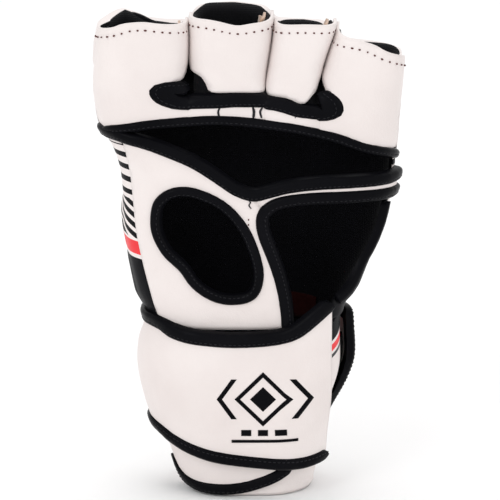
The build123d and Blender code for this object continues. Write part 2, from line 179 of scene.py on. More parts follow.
def finger_point(c, z, grow):
    """The finger section's palm surface: a smooth form low down, four tube fronts higher up."""
    c = min(3.9999, max(0.0, c))
    k = int(c)
    edges = tube_edges(z)
    half = (edges[k + 1] - edges[k]) / 2
    sx, cy = squared((c - k - 0.5) * math.pi)
    x = (edges[k] + edges[k + 1]) / 2 + (half + grow - LEATHER_OUT) * sx
    tube_y = TUBE_MIDDLE + (TUBE_FRONT[k] - TUBE_MIDDLE - grow + LEATHER_OUT) * max(0.0, cy)
    left, right = level(z)[:2]
    x_form = min(right + grow, max(left - grow, x))
    form_y = wrap(unroll(x_form, z, grow), z, grow).y
    t = smooth(*TUBE_MERGE, z)
    return Vector((x_form + (x - x_form) * t, form_y + (tube_y - form_y) * t, z))


def across(x, z):
    """The c of a point of the finger fronts at x."""
    edges = tube_edges(z)
    x = min(edges[4] - 0.01, max(edges[0] + 0.01, x))
    k = max(i for i in range(4) if edges[i] <= x)
    sx = (x - (edges[k] + edges[k + 1]) / 2) / ((edges[k + 1] - edges[k]) / 2)
    return k + 0.5 + math.atan2(sx, max(0.0, 1 - abs(sx) ** SQUARENESS) ** (1 / SQUARENESS)) / math.pi


# ---------------------------------------------------------------- lines and meshes
def curve(points, step=1.5, closed=False):
    """Evenly spaced points on a smooth line through the given ones."""
    pts = [Vector(p).to_2d() for p in points]
    n = len(pts)
    dense = []
    for i in range(n if closed else n - 1):
        p0 = pts[(i - 1) % n] if closed or i else pts[0] * 2 - pts[1]
        p1, p2 = pts[i], pts[(i + 1) % n]
        p3 = pts[(i + 2) % n] if closed or i < n - 2 else pts[-1] * 2 - pts[-2]
        for j in range(24):
            t = j / 24
            dense.append(0.5 * ((2 * p1) + (p2 - p0) * t + (2 * p0 - 5 * p1 + 4 * p2 - p3) * t * t
                                + (3 * p1 - p0 - 3 * p2 + p3) * t ** 3))
    dense.append(pts[0] if closed else pts[-1])
    lengths = [0.0]
    for a, b in zip(dense, dense[1:]):
        lengths.append(lengths[-1] + (b - a).length)
    count = max(2, round(lengths[-1] / step))
    result = []
    k = 0
    for i in range(count + (0 if closed else 1)):
        s = lengths[-1] * i / count
        while k < len(dense) - 2 and lengths[k + 1] < s:
            k += 1
        span = max(1e-9, lengths[k + 1] - lengths[k])
        result.append(dense[k].lerp(dense[k + 1], min(1.0, (s - lengths[k]) / span)))
    return result


def line(a, b, step=1.5):
    """Points on a straight line, without its last one."""
    a, b = Vector(a), Vector(b)
    count = max(1, round((b - a).length / step))
    return [a.lerp(b, i / count) for i in range(count)]


def outline(*edges):
    """A closed outline of smooth and straight edges laid end to end, each one a list of points."""
    points = []
    for edge in edges:
        if len(edge) > 2:
            points += curve(edge)[:-1]
        else:
            points += line(*edge)
    return points


def ring(*corners):
    """A closed outline of straight edges."""
    return outline(*zip(corners, corners[1:] + corners[:1]))


def inside(poly, u, v):
    """Which of the points (u, v) lie inside a polygon."""
    hit = np.zeros(len(u), bool)
    for (x1, y1), (x2, y2) in zip(poly, np.roll(poly, -1, axis=0)):
        cross = (y1 > v) != (y2 > v)
        with np.errstate(divide="ignore", invalid="ignore"):
            hit ^= cross & (u < (x2 - x1) * (v - y1) / (y2 - y1) + x1)
    return hit


def within(loops, points):
    """Which points lie in the first loop and outside the others."""
    keep = inside(loops[0], points[:, 0], points[:, 1])
    for hole in loops[1:]:
        keep &= ~inside(hole, points[:, 0], points[:, 1])
    return keep


def edge_distance(loops, u, v):
    """Distance from each point to the nearest edge of the loops."""
    best = np.full(len(u), 1e9)
    for poly in loops:
        for (x1, y1), (x2, y2) in zip(poly, np.roll(poly, -1, axis=0)):
            dx, dy = x2 - x1, y2 - y1
            t = np.clip(((u - x1) * dx + (v - y1) * dy) / max(1e-9, dx * dx + dy * dy), 0, 1)
            best = np.minimum(best, np.hypot(u - x1 - t * dx, v - y1 - t * dy))
    return best


def make_object(name, verts, faces, uvs=None, sharp=None):
    """A mesh object from points of the form, with its sheet places as its UV map."""
    mesh = bpy.data.meshes.new(name)
    mesh.from_pydata([(v[0] * MM, (v[1] - DEPTH_MIDDLE) * MM, v[2] * MM) for v in verts], [], faces)
    if uvs is not None:
        layer = mesh.uv_layers.new(name="sheet")
        for loop in mesh.loops:
            u = uvs[loop.vertex_index]
            layer.data[loop.index].uv = (u[0] * MM, u[1] * MM)
    mesh.polygons.foreach_set("use_smooth", [True] * len(mesh.polygons))
    if sharp:
        mesh.set_sharp_from_angle(angle=math.radians(sharp))
    mesh.validate()
    mesh.update()
    piece = bpy.data.objects.new(name, mesh)
    bpy.context.scene.collection.objects.link(piece)
    return piece


def grid(rows, columns):
    """The faces of a sheet whose points run along its rows."""
    width = columns + 1
    corners = [r * width + k for r in range(rows) for k in range(columns)]
    return [(a, a + 1, a + width + 1, a + width) for a in corners]


def outward(piece):
    """Turn a closed mesh's faces outwards."""
    bm = bmesh.new()
    bm.from_mesh(piece.data)
    bmesh.ops.recalc_face_normals(bm, faces=bm.faces)
    bm.to_mesh(piece.data)
    bm.free()
    return piece


def apply_modifiers(piece):
    """Bake a piece's modifiers into its mesh."""
    evaluated = piece.evaluated_get(bpy.context.evaluated_depsgraph_get())
    mesh = bpy.data.meshes.new_from_object(evaluated)
    piece.modifiers.clear()
    piece.data = mesh
    return piece


def thicken(piece, thickness, offset=0):
    """Give a sheet its thickness in metres, about its middle (0) or below its face (-1)."""
    solid = piece.modifiers.new("thickness", "SOLIDIFY")
    solid.thickness = thickness
    solid.offset = offset
    return apply_modifiers(piece)


ROW_STEP = 0.87         # rows of points stand this share of their spacing apart
PUFF_WIDTH = 7.0        # a panel reaches its full height this far from its edge
EDGE_ROLL, EDGE_ROLL_WIDTH = 0.35, 0.8


def shell(name, loop, surface, inner, outer, spacing=2.4, holes=(), puff=0.7, relief=None):
    """A leather panel: an outline with holes, laid on a surface, with real thickness and rolled edges."""
    loops = [np.array([(p[0], p[1]) for p in poly]) for poly in (loop, *holes)]
    low, high = loops[0].min(axis=0), loops[0].max(axis=0)
    rows = int((high[1] - low[1]) / (spacing * ROW_STEP)) + 1
    cols = int((high[0] - low[0]) / spacing) + 1
    dots = np.array([(low[0] + (k + 0.5 * (r % 2)) * spacing, low[1] + r * spacing * ROW_STEP)
                     for r in range(rows) for k in range(cols)])
    dots = dots[within(loops, dots)]
    dots = dots[edge_distance(loops, dots[:, 0], dots[:, 1]) > 0.5 * spacing]
    flat, edges = [], []
    for poly in loops:
        first = len(flat)
        flat += [Vector(p) for p in poly]
        edges += [(first + i, first + (i + 1) % len(poly)) for i in range(len(poly))]
    flat += [Vector(p) for p in dots]
    points, _, triangles = delaunay_2d_cdt(flat, edges, [], 1, 1e-4)[:3]
    uv = np.array([(p.x, p.y) for p in points])
    middle = np.array([uv[list(t)].mean(axis=0) for t in triangles])
    faces = [tuple(t) for t, k in zip(triangles, within(loops, middle)) if k]
    verts = []
    for (u, v), d in zip(uv, edge_distance(loops, uv[:, 0], uv[:, 1])):
        rise = puff * (1 - math.exp(-d / PUFF_WIDTH)) - EDGE_ROLL * math.exp(-d / EDGE_ROLL_WIDTH)
        if relief:
            rise += relief(u, v, d)
        verts.append(surface(u, v, outer + rise))
    count = len(verts)
    verts += [surface(u, v, inner) for u, v in uv]
    sides = {(a, b): True for face in faces for a, b in zip(face, face[1:] + face[:1])}
    rim = [(a, b) for a, b in sides if (b, a) not in sides]
    faces += [tuple(i + count for i in reversed(f)) for f in faces]
    faces += [(b, a, a + count, b + count) for a, b in rim]
    used = sorted({i for f in faces for i in f})
    index = {old: new for new, old in enumerate(used)}
    faces = [tuple(index[i] for i in f) for f in faces]
    return outward(make_object(name, [verts[i] for i in used], faces, [tuple(uv[i % count]) for i in used]))


def sideways(path, i, closed=False):
    """The unit step to the left of a path at its point i."""
    before = path[i - 1] if closed or i else path[i]
    after = path[(i + 1) % len(path)] if closed or i < len(path) - 1 else path[i]
    along = (after - before).normalized()
    return Vector((-along.y, along.x))


def offset_path(path, distance, closed=False):
    """A path drawn beside another one."""
    return [p + sideways(path, i, closed) * distance for i, p in enumerate(path)]


DOME_STEPS = 14
GROOVE_DEPTH, GROOVE_WIDTH = 0.32, 0.55     # the line pressed in by a row of stitches


def ribbon(name, path, surface, width, low, high, closed=False, groove=None, pucker=0.12, seed=0):
    """A bound edge: a strip of folded leather with a domed top, swept along a path on a surface."""
    half = width / 2
    profile = []
    for i in range(DOME_STEPS + 1):
        l = -half + width * i / DOME_STEPS
        dome = max(0.0, 1 - abs(l / half) ** 3.2) ** 0.55
        profile.append((l * 0.985, low + (high - low) * dome))
    profile += [(half * 0.9, low - 0.05), (0.0, low - 0.1), (-half * 0.9, low - 0.05)]
    n, m = len(path), len(profile)
    verts, faces, uvs = [], [], []
    length = 0.0
    for i, p in enumerate(path):
        lateral = sideways(path, i, closed)
        if i:
            length += (p - path[i - 1]).length
        ends = 1.0 if closed or n <= 4 else min(1.0, 0.55 + 0.45 * math.sqrt(min(i, n - 1 - i) / 2.0))
        for j, (l, h) in enumerate(profile):
            q = p + lateral * l * ends
            rise = h
            if j <= DOME_STEPS:
                wave = noise.noise(Vector((length * 0.42, l * 0.25, seed * 7.3)))
                fine = noise.noise(Vector((length * 1.3, l * 0.6, seed * 3.1 + 40)))
                rise += pucker * (wave + 0.5 * fine)
                if groove is not None:
                    rise -= GROOVE_DEPTH * math.exp(-((l - groove) / GROOVE_WIDTH) ** 2)
                rise = max(low, rise)
            verts.append(surface(q.x, q.y, rise))
            uvs.append((length, l))
    for i in range(n if closed else n - 1):
        a, b = i * m, ((i + 1) % n) * m
        faces += [(a + j, b + j, b + (j + 1) % m, a + (j + 1) % m) for j in range(m)]
    if not closed:
        faces += [tuple(range(m)), tuple(reversed(range((n - 1) * m, n * m)))]
    return outward(make_object(name, verts, faces, uvs, sharp=70))


def stitch_row(name, path, surface, height, spacing, length, radius, closed=False):
    """A row of short thread stitches laid along a path on a surface."""
    dense = curve([tuple(p) for p in path], step=0.3, closed=closed)
    spots = [surface(*p, height) for p in dense]
    run = [0.0]
    for a, b in zip(spots, spots[1:]):
        run.append(run[-1] + (b - a).length)

    def at(distance):
        return min(len(run) - 1, max(0, int(np.searchsorted(run, distance))))

    verts, faces = [], []
    rings, corners = 5, 6
    for number in range(int((run[-1] - length) / spacing) + 1):
        along_row = length / 2 + number * spacing
        i, before, after = at(along_row), at(along_row - length / 2), at(along_row + length / 2)
        if before == after:
            continue
        middle, along = spots[i], spots[after] - spots[before]
        size = along.length / 2
        along.normalize()
        up = (surface(*dense[i], height + 1) - middle).normalized()
        side = along.cross(up).normalized()
        first = len(verts)
        for r in range(rings):
            t = -1 + 2 * r / (rings - 1)
            thick, sunk = radius * math.sqrt(max(0.06, 1 - t * t)), radius * 0.5 * t * t
            for k in range(corners):
                angle = k * math.pi / 3
                verts.append(middle + along * t * size + side * thick * math.cos(angle)
                             + up * (thick * math.sin(angle) - sunk))
        for r in range(rings - 1):
            for k in range(corners):
                p, q = first + r * corners + k, first + r * corners + (k + 1) % corners
                faces.append((p, q, q + corners, p + corners))
        faces.append(tuple(first + k for k in reversed(range(corners))))
        faces.append(tuple(first + (rings - 1) * corners + k for k in range(corners)))
    return make_object(name, verts, faces)


# ---------------------------------------------------------------- materials
WHITE = (0.80, 0.735, 0.715, 1)
WHITE_SHADE = (0.75, 0.68, 0.66, 1)
BLACK = (0.0045, 0.0045, 0.006, 1)
BLACK_SHADE = (0.0025, 0.0025, 0.0035, 1)
RED = (0.80, 0.012, 0.02, 1)
INK_GLOSS = 0.04        # black ink shines less than the leather under it


class Shade:
    """A procedural material; an input is a constant or another node's output."""

    def __init__(self, name):
        self.material = bpy.data.materials.new(name)
        self.material.use_nodes = True
        self.tree = self.material.node_tree
        self.place = self.node("TexCoord").outputs["Object"]

    def feed(self, node, inputs):
        for key, value in inputs.items():
            if isinstance(value, bpy.types.NodeSocket):
                self.tree.links.new(value, node.inputs[key])
            else:
                node.inputs[key].default_value = value
        return node

    def node(self, kind, inputs=None, **settings):
        node = self.tree.nodes.new("ShaderNode" + kind)
        for key, value in settings.items():
            setattr(node, key, value)
        return self.feed(node, inputs or {})

    def texture(self, kind, scale, **inputs):
        node = self.node("Tex" + kind, {"Scale": scale, "Vector": self.place, **inputs})
        return node.outputs["Distance" if kind == "Voronoi" else "Fac"]

    def maths(self, operation, *values):
        return self.node("Math", dict(enumerate(values)), operation=operation).outputs[0]

    def band(self, value, low, high):
        above, below = self.maths("GREATER_THAN", value, low), self.maths("LESS_THAN", value, high)
        return self.maths("MULTIPLY", above, below)

    def stripes(self, value, period, share):
        return self.maths("LESS_THAN", self.maths("FRACT", self.maths("DIVIDE", value, period)), share)

    def sheet_place(self):
        """The place on the flat sheet, in metres: its distance across from the palm's middle, and up."""
        uv = self.node("UVMap", uv_map="sheet").outputs["UV"]
        split = self.node("SeparateXYZ", {0: uv}).outputs
        return self.maths("ABSOLUTE", split["X"]), split["Y"]

    def mix(self, factor, a, b):
        return self.node("Mix", {0: factor, 6: a, 7: b}, data_type="RGBA").outputs[2]

    def tones(self, value, start, dark, end, light):
        node = self.node("ValToRGB", {"Fac": value})
        for stop, position, colour in zip(node.color_ramp.elements, (start, end), (dark, light)):
            stop.position, stop.color = position, colour
        return node.outputs["Color"]

    def finish(self, bumps, **surface):
        """Set the surface; each bump is (height, strength, distance in metres)."""
        normal = {}
        for height, strength, distance in bumps:
            bump = self.node("Bump", {"Height": height, "Strength": strength, "Distance": distance, **normal})
            normal = {"Normal": bump.outputs["Normal"]}
        named = {key.replace("_", " "): value for key, value in surface.items()}
        self.feed(self.tree.nodes["Principled BSDF"], {**named, **normal})
        return self.material


def leather(name, light, dark, roughness, grain=0.25, print_of=None, wrinkle=0.35, gloss=0.4):
    """Grained leather: fine pebble, soft wrinkles and a slight change of tone."""
    m = Shade(name)
    pebble = m.texture("Voronoi", 1300.0)
    creases = m.texture("Noise", 210.0, Detail=6.0, Roughness=0.65)
    waves = m.texture("Noise", 55.0, Detail=3.0, Distortion=0.6)
    colour = m.tones(m.texture("Noise", 26.0, Detail=4.0), 0.35, dark, 0.65, light)
    if print_of:
        colour, inked = print_of(m, colour)
        gloss = m.maths("MULTIPLY_ADD", inked, INK_GLOSS - gloss, gloss)
    shine = m.node("MapRange", {"Value": creases, "To Min": roughness - 0.07, "To Max": roughness + 0.09})
    return m.finish([(waves, wrinkle, 0.0011), (creases, 0.22, 0.0004), (pebble, grain, 0.00018)],
                    Base_Color=colour, Specular_IOR_Level=gloss, Roughness=shine.outputs["Result"])


def woven(name, light, dark, scale, depth=0.0004):
    """A knitted or woven cloth: two crossed waves and loose fibres, with painted shade in the hollows between
    its threads.
    """
    m = Shade(name)
    warp = m.texture("Wave", scale, Distortion=0.6)
    weft = m.node("TexWave", {"Scale": scale, "Vector": m.place, "Distortion": 0.6}, bands_direction="Z")
    weave = m.maths("MULTIPLY", warp, weft.outputs["Fac"])
    fibre = m.texture("Noise", 400.0, Detail=5.0)
    patches = m.tones(m.texture("Noise", 45.0, Detail=3.0), 0.35, dark, 0.7, light)
    # painted shade: where the weave's bump sinks between the threads the colour falls to the dark tone; the
    # patches are random tone
    return m.finish([(weave, 0.6, depth), (fibre, 0.35, 0.0003)], Base_Color=m.mix(weave, dark, patches),
                    Roughness=0.9, Specular_IOR_Level=0.12, Sheen_Weight=0.03)


def thread(name, colour):
    """Twisted sewing thread, with painted shade in the grooves of its twist."""
    m = Shade(name)
    twist = m.texture("Wave", 900.0, Distortion=1.5)
    # painted shade: the thread takes this darker colour where the twist's bump sinks into its grooves
    painted_twist_shade = tuple(0.55 * c for c in colour[:3]) + (1,)
    return m.finish([(twist, 0.5, 0.0002)], Base_Color=m.mix(twist, painted_twist_shade, colour), Roughness=0.6,
                    Specular_IOR_Level=0.15)


def suede(name, light, dark):
    """Raw split leather: short fibres and mottled colour."""
    m = Shade(name)
    mottle = m.tones(m.texture("Noise", 160.0, Detail=6.0, Roughness=0.7), 0.3, dark, 0.7, light)
    fibre = m.texture("Noise", 1500.0, Detail=4.0)
    return m.finish([(fibre, 0.6, 0.0003)], Base_Color=mottle, Roughness=0.92, Sheen_Weight=0.4)


def back_print(m, ground):
    """The printed back: black below, a red band edged in white, then black slashes and bars up the side."""
    out, up = m.sheet_place()
    leaned = m.maths("MULTIPLY_ADD", out, -0.32, up)
    bars = m.maths("MULTIPLY", m.band(up, 0.1475, 0.1735), m.stripes(up, 0.0064, 0.45))
    slashes = m.maths("MULTIPLY", m.band(up, 0.1265, 0.1455), m.stripes(leaned, 0.0049, 0.58))
    black_part = m.maths("MAXIMUM", m.maths("MAXIMUM", bars, slashes), m.maths("LESS_THAN", up, 0.1165))
    with_black = m.mix(black_part, ground, BLACK)
    return m.mix(m.band(up, 0.1185, 0.1252), with_black, RED), black_part


def side_print(m, ground):
    """The cuff's print: black, a thin red band and a black line, which dip round the side, and white below."""
    out, up = m.sheet_place()
    fallen = m.maths("MULTIPLY_ADD", m.maths("MINIMUM", out, 0.066), -0.3, up)
    height = m.maths("ADD", fallen, 0.0138)
    black_part = m.band(height, 0.0755, 0.2)
    colour = m.mix(black_part, ground, BLACK)
    colour = m.mix(m.band(height, 0.0705, 0.0738), colour, RED)
    return m.mix(m.band(height, 0.0672, 0.0690), colour, BLACK), black_part


white_leather = leather("white_leather", WHITE, WHITE_SHADE, 0.46)
printed_leather = leather("printed_leather", WHITE, WHITE_SHADE, 0.44, print_of=back_print)
side_leather = leather("side_leather", WHITE, WHITE_SHADE, 0.44, print_of=side_print)
black_leather = leather("black_leather", BLACK, BLACK_SHADE, 0.30, grain=0.2, wrinkle=0.5, gloss=0.035)
lining_cloth = woven("lining_cloth", (0.010, 0.010, 0.012, 1), (0.003, 0.003, 0.004, 1), 420.0)
mesh_cloth = woven("mesh_cloth", (0.006, 0.006, 0.010, 1), (0.002, 0.002, 0.003, 1), 300.0)
hook_cloth = woven("hook_cloth", (0.03, 0.03, 0.03, 1), (0.01, 0.01, 0.01, 1), 520.0, depth=0.0009)
tan_suede = suede("tan_suede", (0.62, 0.42, 0.30, 1), (0.42, 0.26, 0.17, 1))
label_cloth = woven("label_cloth", (0.035, 0.003, 0.002, 1), (0.018, 0.001, 0.001, 1), 500.0)
black_thread = thread("black_thread", (0.018, 0.018, 0.022, 1))
brown_thread = thread("brown_thread", (0.13, 0.035, 0.03, 1))


def finish_piece(piece, material, body=None, nodes=()):
    """Give a piece its material, the body that it rides and the CAD nodes that it replaces."""
    piece.data.materials.append(material)
    return place_piece(piece, body, nodes)


def place_piece(piece, body, nodes):
    """Give a piece the body that it rides and the CAD nodes that it replaces."""
    if body:
        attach(piece, body)
    if nodes:
        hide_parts(*nodes)
    return piece


# ---------------------------------------------------------------- bound edges
COARSE, FINE, TIGHT = (2.3, 1.5, 0.26), (2.2, 1.4, 0.25), (2.2, 1.4, 0.24)      # spacing, length, radius
# piece: (its stitches, width, underside, top, line of the stitches, their depth, their thread, seed)
EDGES = {
    "panel_hem_binding": ("panel_hem_stitches", 5.4, 0.4, 4.1, -0.8, 0.25, COARSE, 1),
    "slot_band": ("slot_stitches", 7.4, 0.5, 4.3, -1.6, 0.35, TIGHT, 2),
    "thumb_hole_edge": ("thumb_hole_stitches", 5.8, 0.2, 4.5, -1.3, 0.3, FINE, 4),
    "palm_opening_edge": ("palm_opening_stitches", 7.2, 0.3, 4.4, -1.5, 0.25, FINE, 5),
    "lower_opening_edge": ("lower_opening_stitches", 7.2, 0.3, 4.5, 1.4, 0.3, FINE, 6),
    "opening_side_edge": (None, 6.6, 0.3, 4.2, 1.2, 0.0, FINE, 7),
    "strap_top_edge": ("strap_top_edge_stitches", 8.0, 4.5, 8.9, 1.6, 0.3, COARSE, 14),
    "strap_foot_edge": ("strap_foot_edge_stitches", 7.0, 4.5, 8.9, -1.4, 0.3, COARSE, 15),
    "tab_edge": ("tab_stitches", 7.0, 4.5, 8.9, -1.5, 0.3, COARSE, 9),
    "cuff_edge": ("cuff_stitches", 7.0, 0.6, 4.4, -1.4, 0.3, COARSE, 10),
}


def bound_edge(name, path, surface, body, nodes, closed=False):
    """A black binding with its row of stitches. Without a body its pieces have their transforms baked into
    their meshes.
    """
    row, width, low, high, line_at, sunk, stitch, seed = EDGES[name]
    edge = ribbon(name, path, surface, width, low, high, closed, groove=line_at, seed=seed)
    pieces = [finish_piece(edge, black_leather, body, nodes)]
    if row:
        path = offset_path(path, line_at, closed)
        stitches = stitch_row(row, path, surface, high - sunk, *stitch, closed)
        pieces.append(finish_piece(stitches, black_thread, body))
    if not body:
        for piece in pieces:
            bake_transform(piece)


def seam_thread(name, path, surface, width, low, high, body):
    """A loose black thread lying on the leather."""
    finish_piece(ribbon(name, path, surface, width, low, high, pucker=0.0), black_thread, body)


# ---------------------------------------------------------------- sewing lines (across, up)
PANEL_HEM = [(-71, 177.2), (-66, 180.4), (-50, 183.9), (-33, 185.6), (-18.9, 186.4), (-6, 186),
             (8.4, 184.4), (24, 182), (40.7, 178), (56, 172.4), (69.5, 166.4)]
PALM_OPENING = [(-64.5, 178), (-57.5, 177), (-48.7, 175.3), (-38, 171.4), (-26, 166), (-16, 159.6),
                (-7, 153.4), (1, 150.6), (8, 151.8), (17, 154.2), (28, 155.7), (40.7, 156.6), (56, 156.9),
                (68, 156.2)]
LOWER_OPENING = [(68, 148.4), (56, 149.5), (39, 149.3), (24, 148.4), (12.5, 146.2), (6.8, 141.8),
                 (5.8, 136.5), (7.2, 130), (10.2, 122), (13.6, 112), (16, 102), (17.3, 93), (18, 84)]
THUMB_SEAM = [(-60.6, 176.6), (-57.8, 163), (-56.2, 150), (-54.4, 131), (-51, 114), (-47.5, 100),
              (-43, 84)]
THUMB_HOLE = [(-44.9, 138.5), (-43, 146.5), (-36, 151.8), (-26, 151.6), (-13, 145.6), (-3.5, 135),
              (2.2, 122), (4.2, 110.5), (1, 101.6), (-7.5, 98.9), (-17, 100.6), (-25.6, 106.5),
              (-31.6, 115), (-39.5, 122.6), (-44, 131)]
OPENING_SIDE = [(65.5, 143), (63.5, 134), (59.8, 124), (54.5, 114), (47.5, 104.5), (39.5, 97)]
BAND_TOP = [(38.8, 97), (31, 90.8), (22, 84.2), (14, 81.4), (2, 80), (-12, 79.9), (-26, 81.2), (-38, 83),
            (-47, 85.6)]
BAND_BOTTOM = [(36.2, 18.2), (24, 17.2), (8, 18.2), (-12, 20.7), (-27, 24.4), (-37, 28.6), (-44, 32.4)]
CUFF_HEM = [(-35.5, 12.5), (-33, 7.4), (-27, 4.2), (-16, 3.5), (-4, 4.4), (6, 7.4), (13, 10.6), (19, 14.5)]
SLOT_BAND = [(-29.8, 201.2), (-34, 201.4), (-39.0, 201.6), (-41.4, 200.6), (-40.6, 198.0), (-36.5, 195.6),
             (-30, 194.5), (-18, 195.2), (-2, 195.8), (10, 194.4), (25, 190.6), (33, 189.3), (37.2, 189.8),
             (38.3, 192.4), (36.6, 195.8), (33.6, 199.0)]
INDEX_CORNER = [(-36, 204.3), (-33.4, 204.6), (-31.4, 205.2), (-30.2, 206.6), (-29.6, 210.0)]
PINKY_CORNER = [(33.6, 199.6), (34.2, 202.4), (33.4, 205.6)]
MIDDLE_CORNER = [(-28.9, 209.4), (-25.4, 207.6), (-21.1, 203.6), (-18.1, 199.6)]
MIDDLE_FOOT = [(-18.1, 199.6), (-5, 199.4), (7.2, 198.8)]
RING_FOOT = [(7.2, 198.8), (16, 197), (24.9, 194.2)]
RING_CORNER = [(24.9, 194.2), (30, 198.4), (32.4, 201.6), (33.2, 205)]
FRONT_LIPS = [
    [(-72.4, 226.0), (-67, 230.2), (-60, 232.6), (-50, 233.4), (-40, 232.4), (-29.1, 229.8)],
    [(-28.9, 233.0), (-24, 234.0), (-16.8, 233.4), (-6, 231.2), (3, 232.2), (11.4, 233.8)],
    [(11.8, 230.2), (18, 231.4), (27.8, 231.6), (37, 231.2), (42.2, 230.0)],
    [(41.2, 226.4), (49, 224.6), (58.9, 222.0), (66.8, 218.2), (75.8, 211.4)],
]
BACK_LIPS = [
    [(-72, 221.0), (-67, 223.7), (-61, 227.3), (-56, 225.5), (-50, 222.3), (-40, 221.2), (-30, 220.2)],
    [(-27, 228.6), (-22, 230.6), (-8, 230.8), (6, 229.4), (11, 227.6)],
    [(14, 222.4), (26, 222.4), (38, 221.0)],
    [(41, 209.0), (50, 211.4), (58, 211.4), (70, 210.6)],
]
FINGER_NAMES = ("index", "middle", "ring", "pinky")
SHEET = 40.0            # sheet millimetres for each finger in the finger panel's flat pattern
INDEX_INNER, PINKY_INNER = 0.97 * SHEET, 3.03 * SHEET       # the sides next to the sleeves
SLEEVE_GAP = 0.015      # share of a tube's front left free at each of its sleeve's sides


def on_palm(points, grow=LEATHER_OUT):
    """Palm-side points laid out flat."""
    return [(unroll(x, z, grow), z) for x, z in points]


def on_fingers(points):
    """Palm-side points laid out on the finger panel's flat pattern."""
    return [(across(x, z) * SHEET, z) for x, z in points]


def finger_sheet(u, z, grow):
    """The finger section's surface over its flat pattern."""
    return finger_point(u / SHEET, z, grow)


def height_at(lip, x):
    """A lip's height at x."""
    if x <= lip[0][0]:
        return lip[0][1]
    for (x1, z1), (x2, z2) in zip(lip, lip[1:]):
        if x <= x2:
            return z1 + (z2 - z1) * (x - x1) / (x2 - x1)
    return lip[-1][1]


def tube_point(k, angle, z, grow, deeper=0.0):
    """The finger tube's closed surface: angle 0 is the palm side and 90 degrees the little-finger side."""
    edges = tube_edges(z)
    half = (edges[k + 1] - edges[k]) / 2 + grow - LEATHER_OUT
    depth = (TUBE_MIDDLE - TUBE_FRONT[k] if math.cos(angle) > 0 else TUBE_BACK - TUBE_MIDDLE)
    depth += grow - LEATHER_OUT + deeper
    sx, cy = squared(angle)
    return Vector(((edges[k] + edges[k + 1]) / 2 + half * sx, TUBE_MIDDLE - depth * cy, z))


def tube_lip(k, angle):
    """The tube's lip height all the way round."""
    x = tube_point(k, angle, 225, LEATHER_OUT).x
    behind = smooth(-0.15, 0.75, -math.cos(angle))
    return height_at(FRONT_LIPS[k], x) * (1 - behind) + height_at(BACK_LIPS[k], x) * behind


# ---------------------------------------------------------------- the finger section
def finger_panel():
    """The front of the index and little-finger tubes and the strip that joins them below the slot."""
    first, last = 0.005 * SHEET, 3.995 * SHEET
    left_edge = [(first, FRONT_LIPS[0][0][1]), (first, 176.5)]
    right_edge = [(last, 165.5), (last, FRONT_LIPS[3][-1][1])]
    hem = [left_edge[1]] + on_fingers(PANEL_HEM[1:-1]) + [right_edge[0]]
    pinky_side = [(PINKY_INNER, 228.6), (PINKY_INNER, 206.0)]
    pinky_lip = [right_edge[1]] + on_fingers(FRONT_LIPS[3][::-1][1:-1]) + [pinky_side[0]]
    index_side = [(INDEX_INNER, 213.0), (INDEX_INNER, 230.8)]
    slot = on_fingers(PINKY_CORNER[::-1][1:-1] + SLOT_BAND[::-1][1:-2] + INDEX_CORNER[:-1])
    slot = [pinky_side[1]] + slot + [index_side[0]]
    index_lip = [index_side[1]] + on_fingers(FRONT_LIPS[0][::-1][1:-1]) + [left_edge[0]]
    loop = outline(hem, right_edge, pinky_lip, pinky_side, slot, index_side, index_lip, left_edge)

    def folds(u, z, d):
        wave = noise.noise(Vector((u * 0.045, z * 0.06, 3.0))) * 0.9
        pull = 0.35 * math.sin(u * 0.55) * math.exp(-max(0.0, z - 186) / 5.0) if z < 200 else 0.0
        return (wave + pull) * (1 - math.exp(-d / 6.0))

    return shell("finger_panel", loop, finger_sheet, LEATHER_IN, LEATHER_OUT, 2.0, puff=0.5, relief=folds)


def sleeve(name, k, lower, seed):
    """The leather front of a middle tube, down to the slot."""
    left, right = (k + SLEEVE_GAP) * SHEET, (k + 1 - SLEEVE_GAP) * SHEET
    lip = on_fingers(FRONT_LIPS[k][1:-1])
    base = on_fingers(lower)
    base[0], base[-1] = (left, lower[0][1]), (right, lower[-1][1])
    top = [(right, FRONT_LIPS[k][-1][1])] + lip[::-1] + [(left, FRONT_LIPS[k][0][1])]
    loop = outline(base, [base[-1], top[0]], top, [top[-1], base[0]])

    def folds(u, z, d):
        return 0.6 * noise.noise(Vector((u * 0.05, z * 0.07, seed))) * (1 - math.exp(-d / 5.0))

    return shell(name, loop, finger_sheet, LEATHER_IN, LEATHER_OUT, spacing=2.0, puff=0.5, relief=folds)


def tube_lining(k):
    """Padded tube lining: a soft wall inside the finger tube that rolls out over the pad at the back."""
    columns, foot = 72, 199.0
    wall, roll, hang = 10, 9, 3         # steps up the inside, over the lip and down again
    verts = []
    for i in range(columns):
        angle = 2 * math.pi * i / columns
        lip = tube_lip(k, angle)
        start = lip - 2.5
        behind = smooth(0.25, 0.85, -math.cos(angle))
        thick = 1.6 + 8.5 * behind
        for step in range(wall):
            z = foot + (start - foot) * step / (wall - 1)
            swell_in = 0.35 * noise.noise(Vector((math.sin(angle) * 2, math.cos(angle) * 2, z * 0.08 + k * 9)))
            verts.append(tube_point(k, angle, z, -0.9 + swell_in))
        for step in range(1, roll + 1):
            a = math.pi * step / roll
            out = -0.9 + (1 - math.cos(a)) / 2 * thick
            z = start + math.sin(a) * (1.6 + 2.2 * behind) - (0.6 if behind < 0.3 else 0.0)
            verts.append(tube_point(k, angle, z, min(out, 0.7), max(0.0, out - 0.7)))
        for step in range(1, hang + 1):
            verts.append(tube_point(k, angle, start - 2.5 * step, 0.7 - 0.8 * behind, thick - 1.6))
    m = wall + roll + hang
    faces = []
    for i in range(columns):
        a, b = i * m, ((i + 1) % columns) * m
        faces += [(a + j, b + j, b + j + 1, a + j + 1) for j in range(m - 1)]
    return thicken(make_object(f"{FINGER_NAMES[k]}_tube_lining", verts, faces), 0.0006)


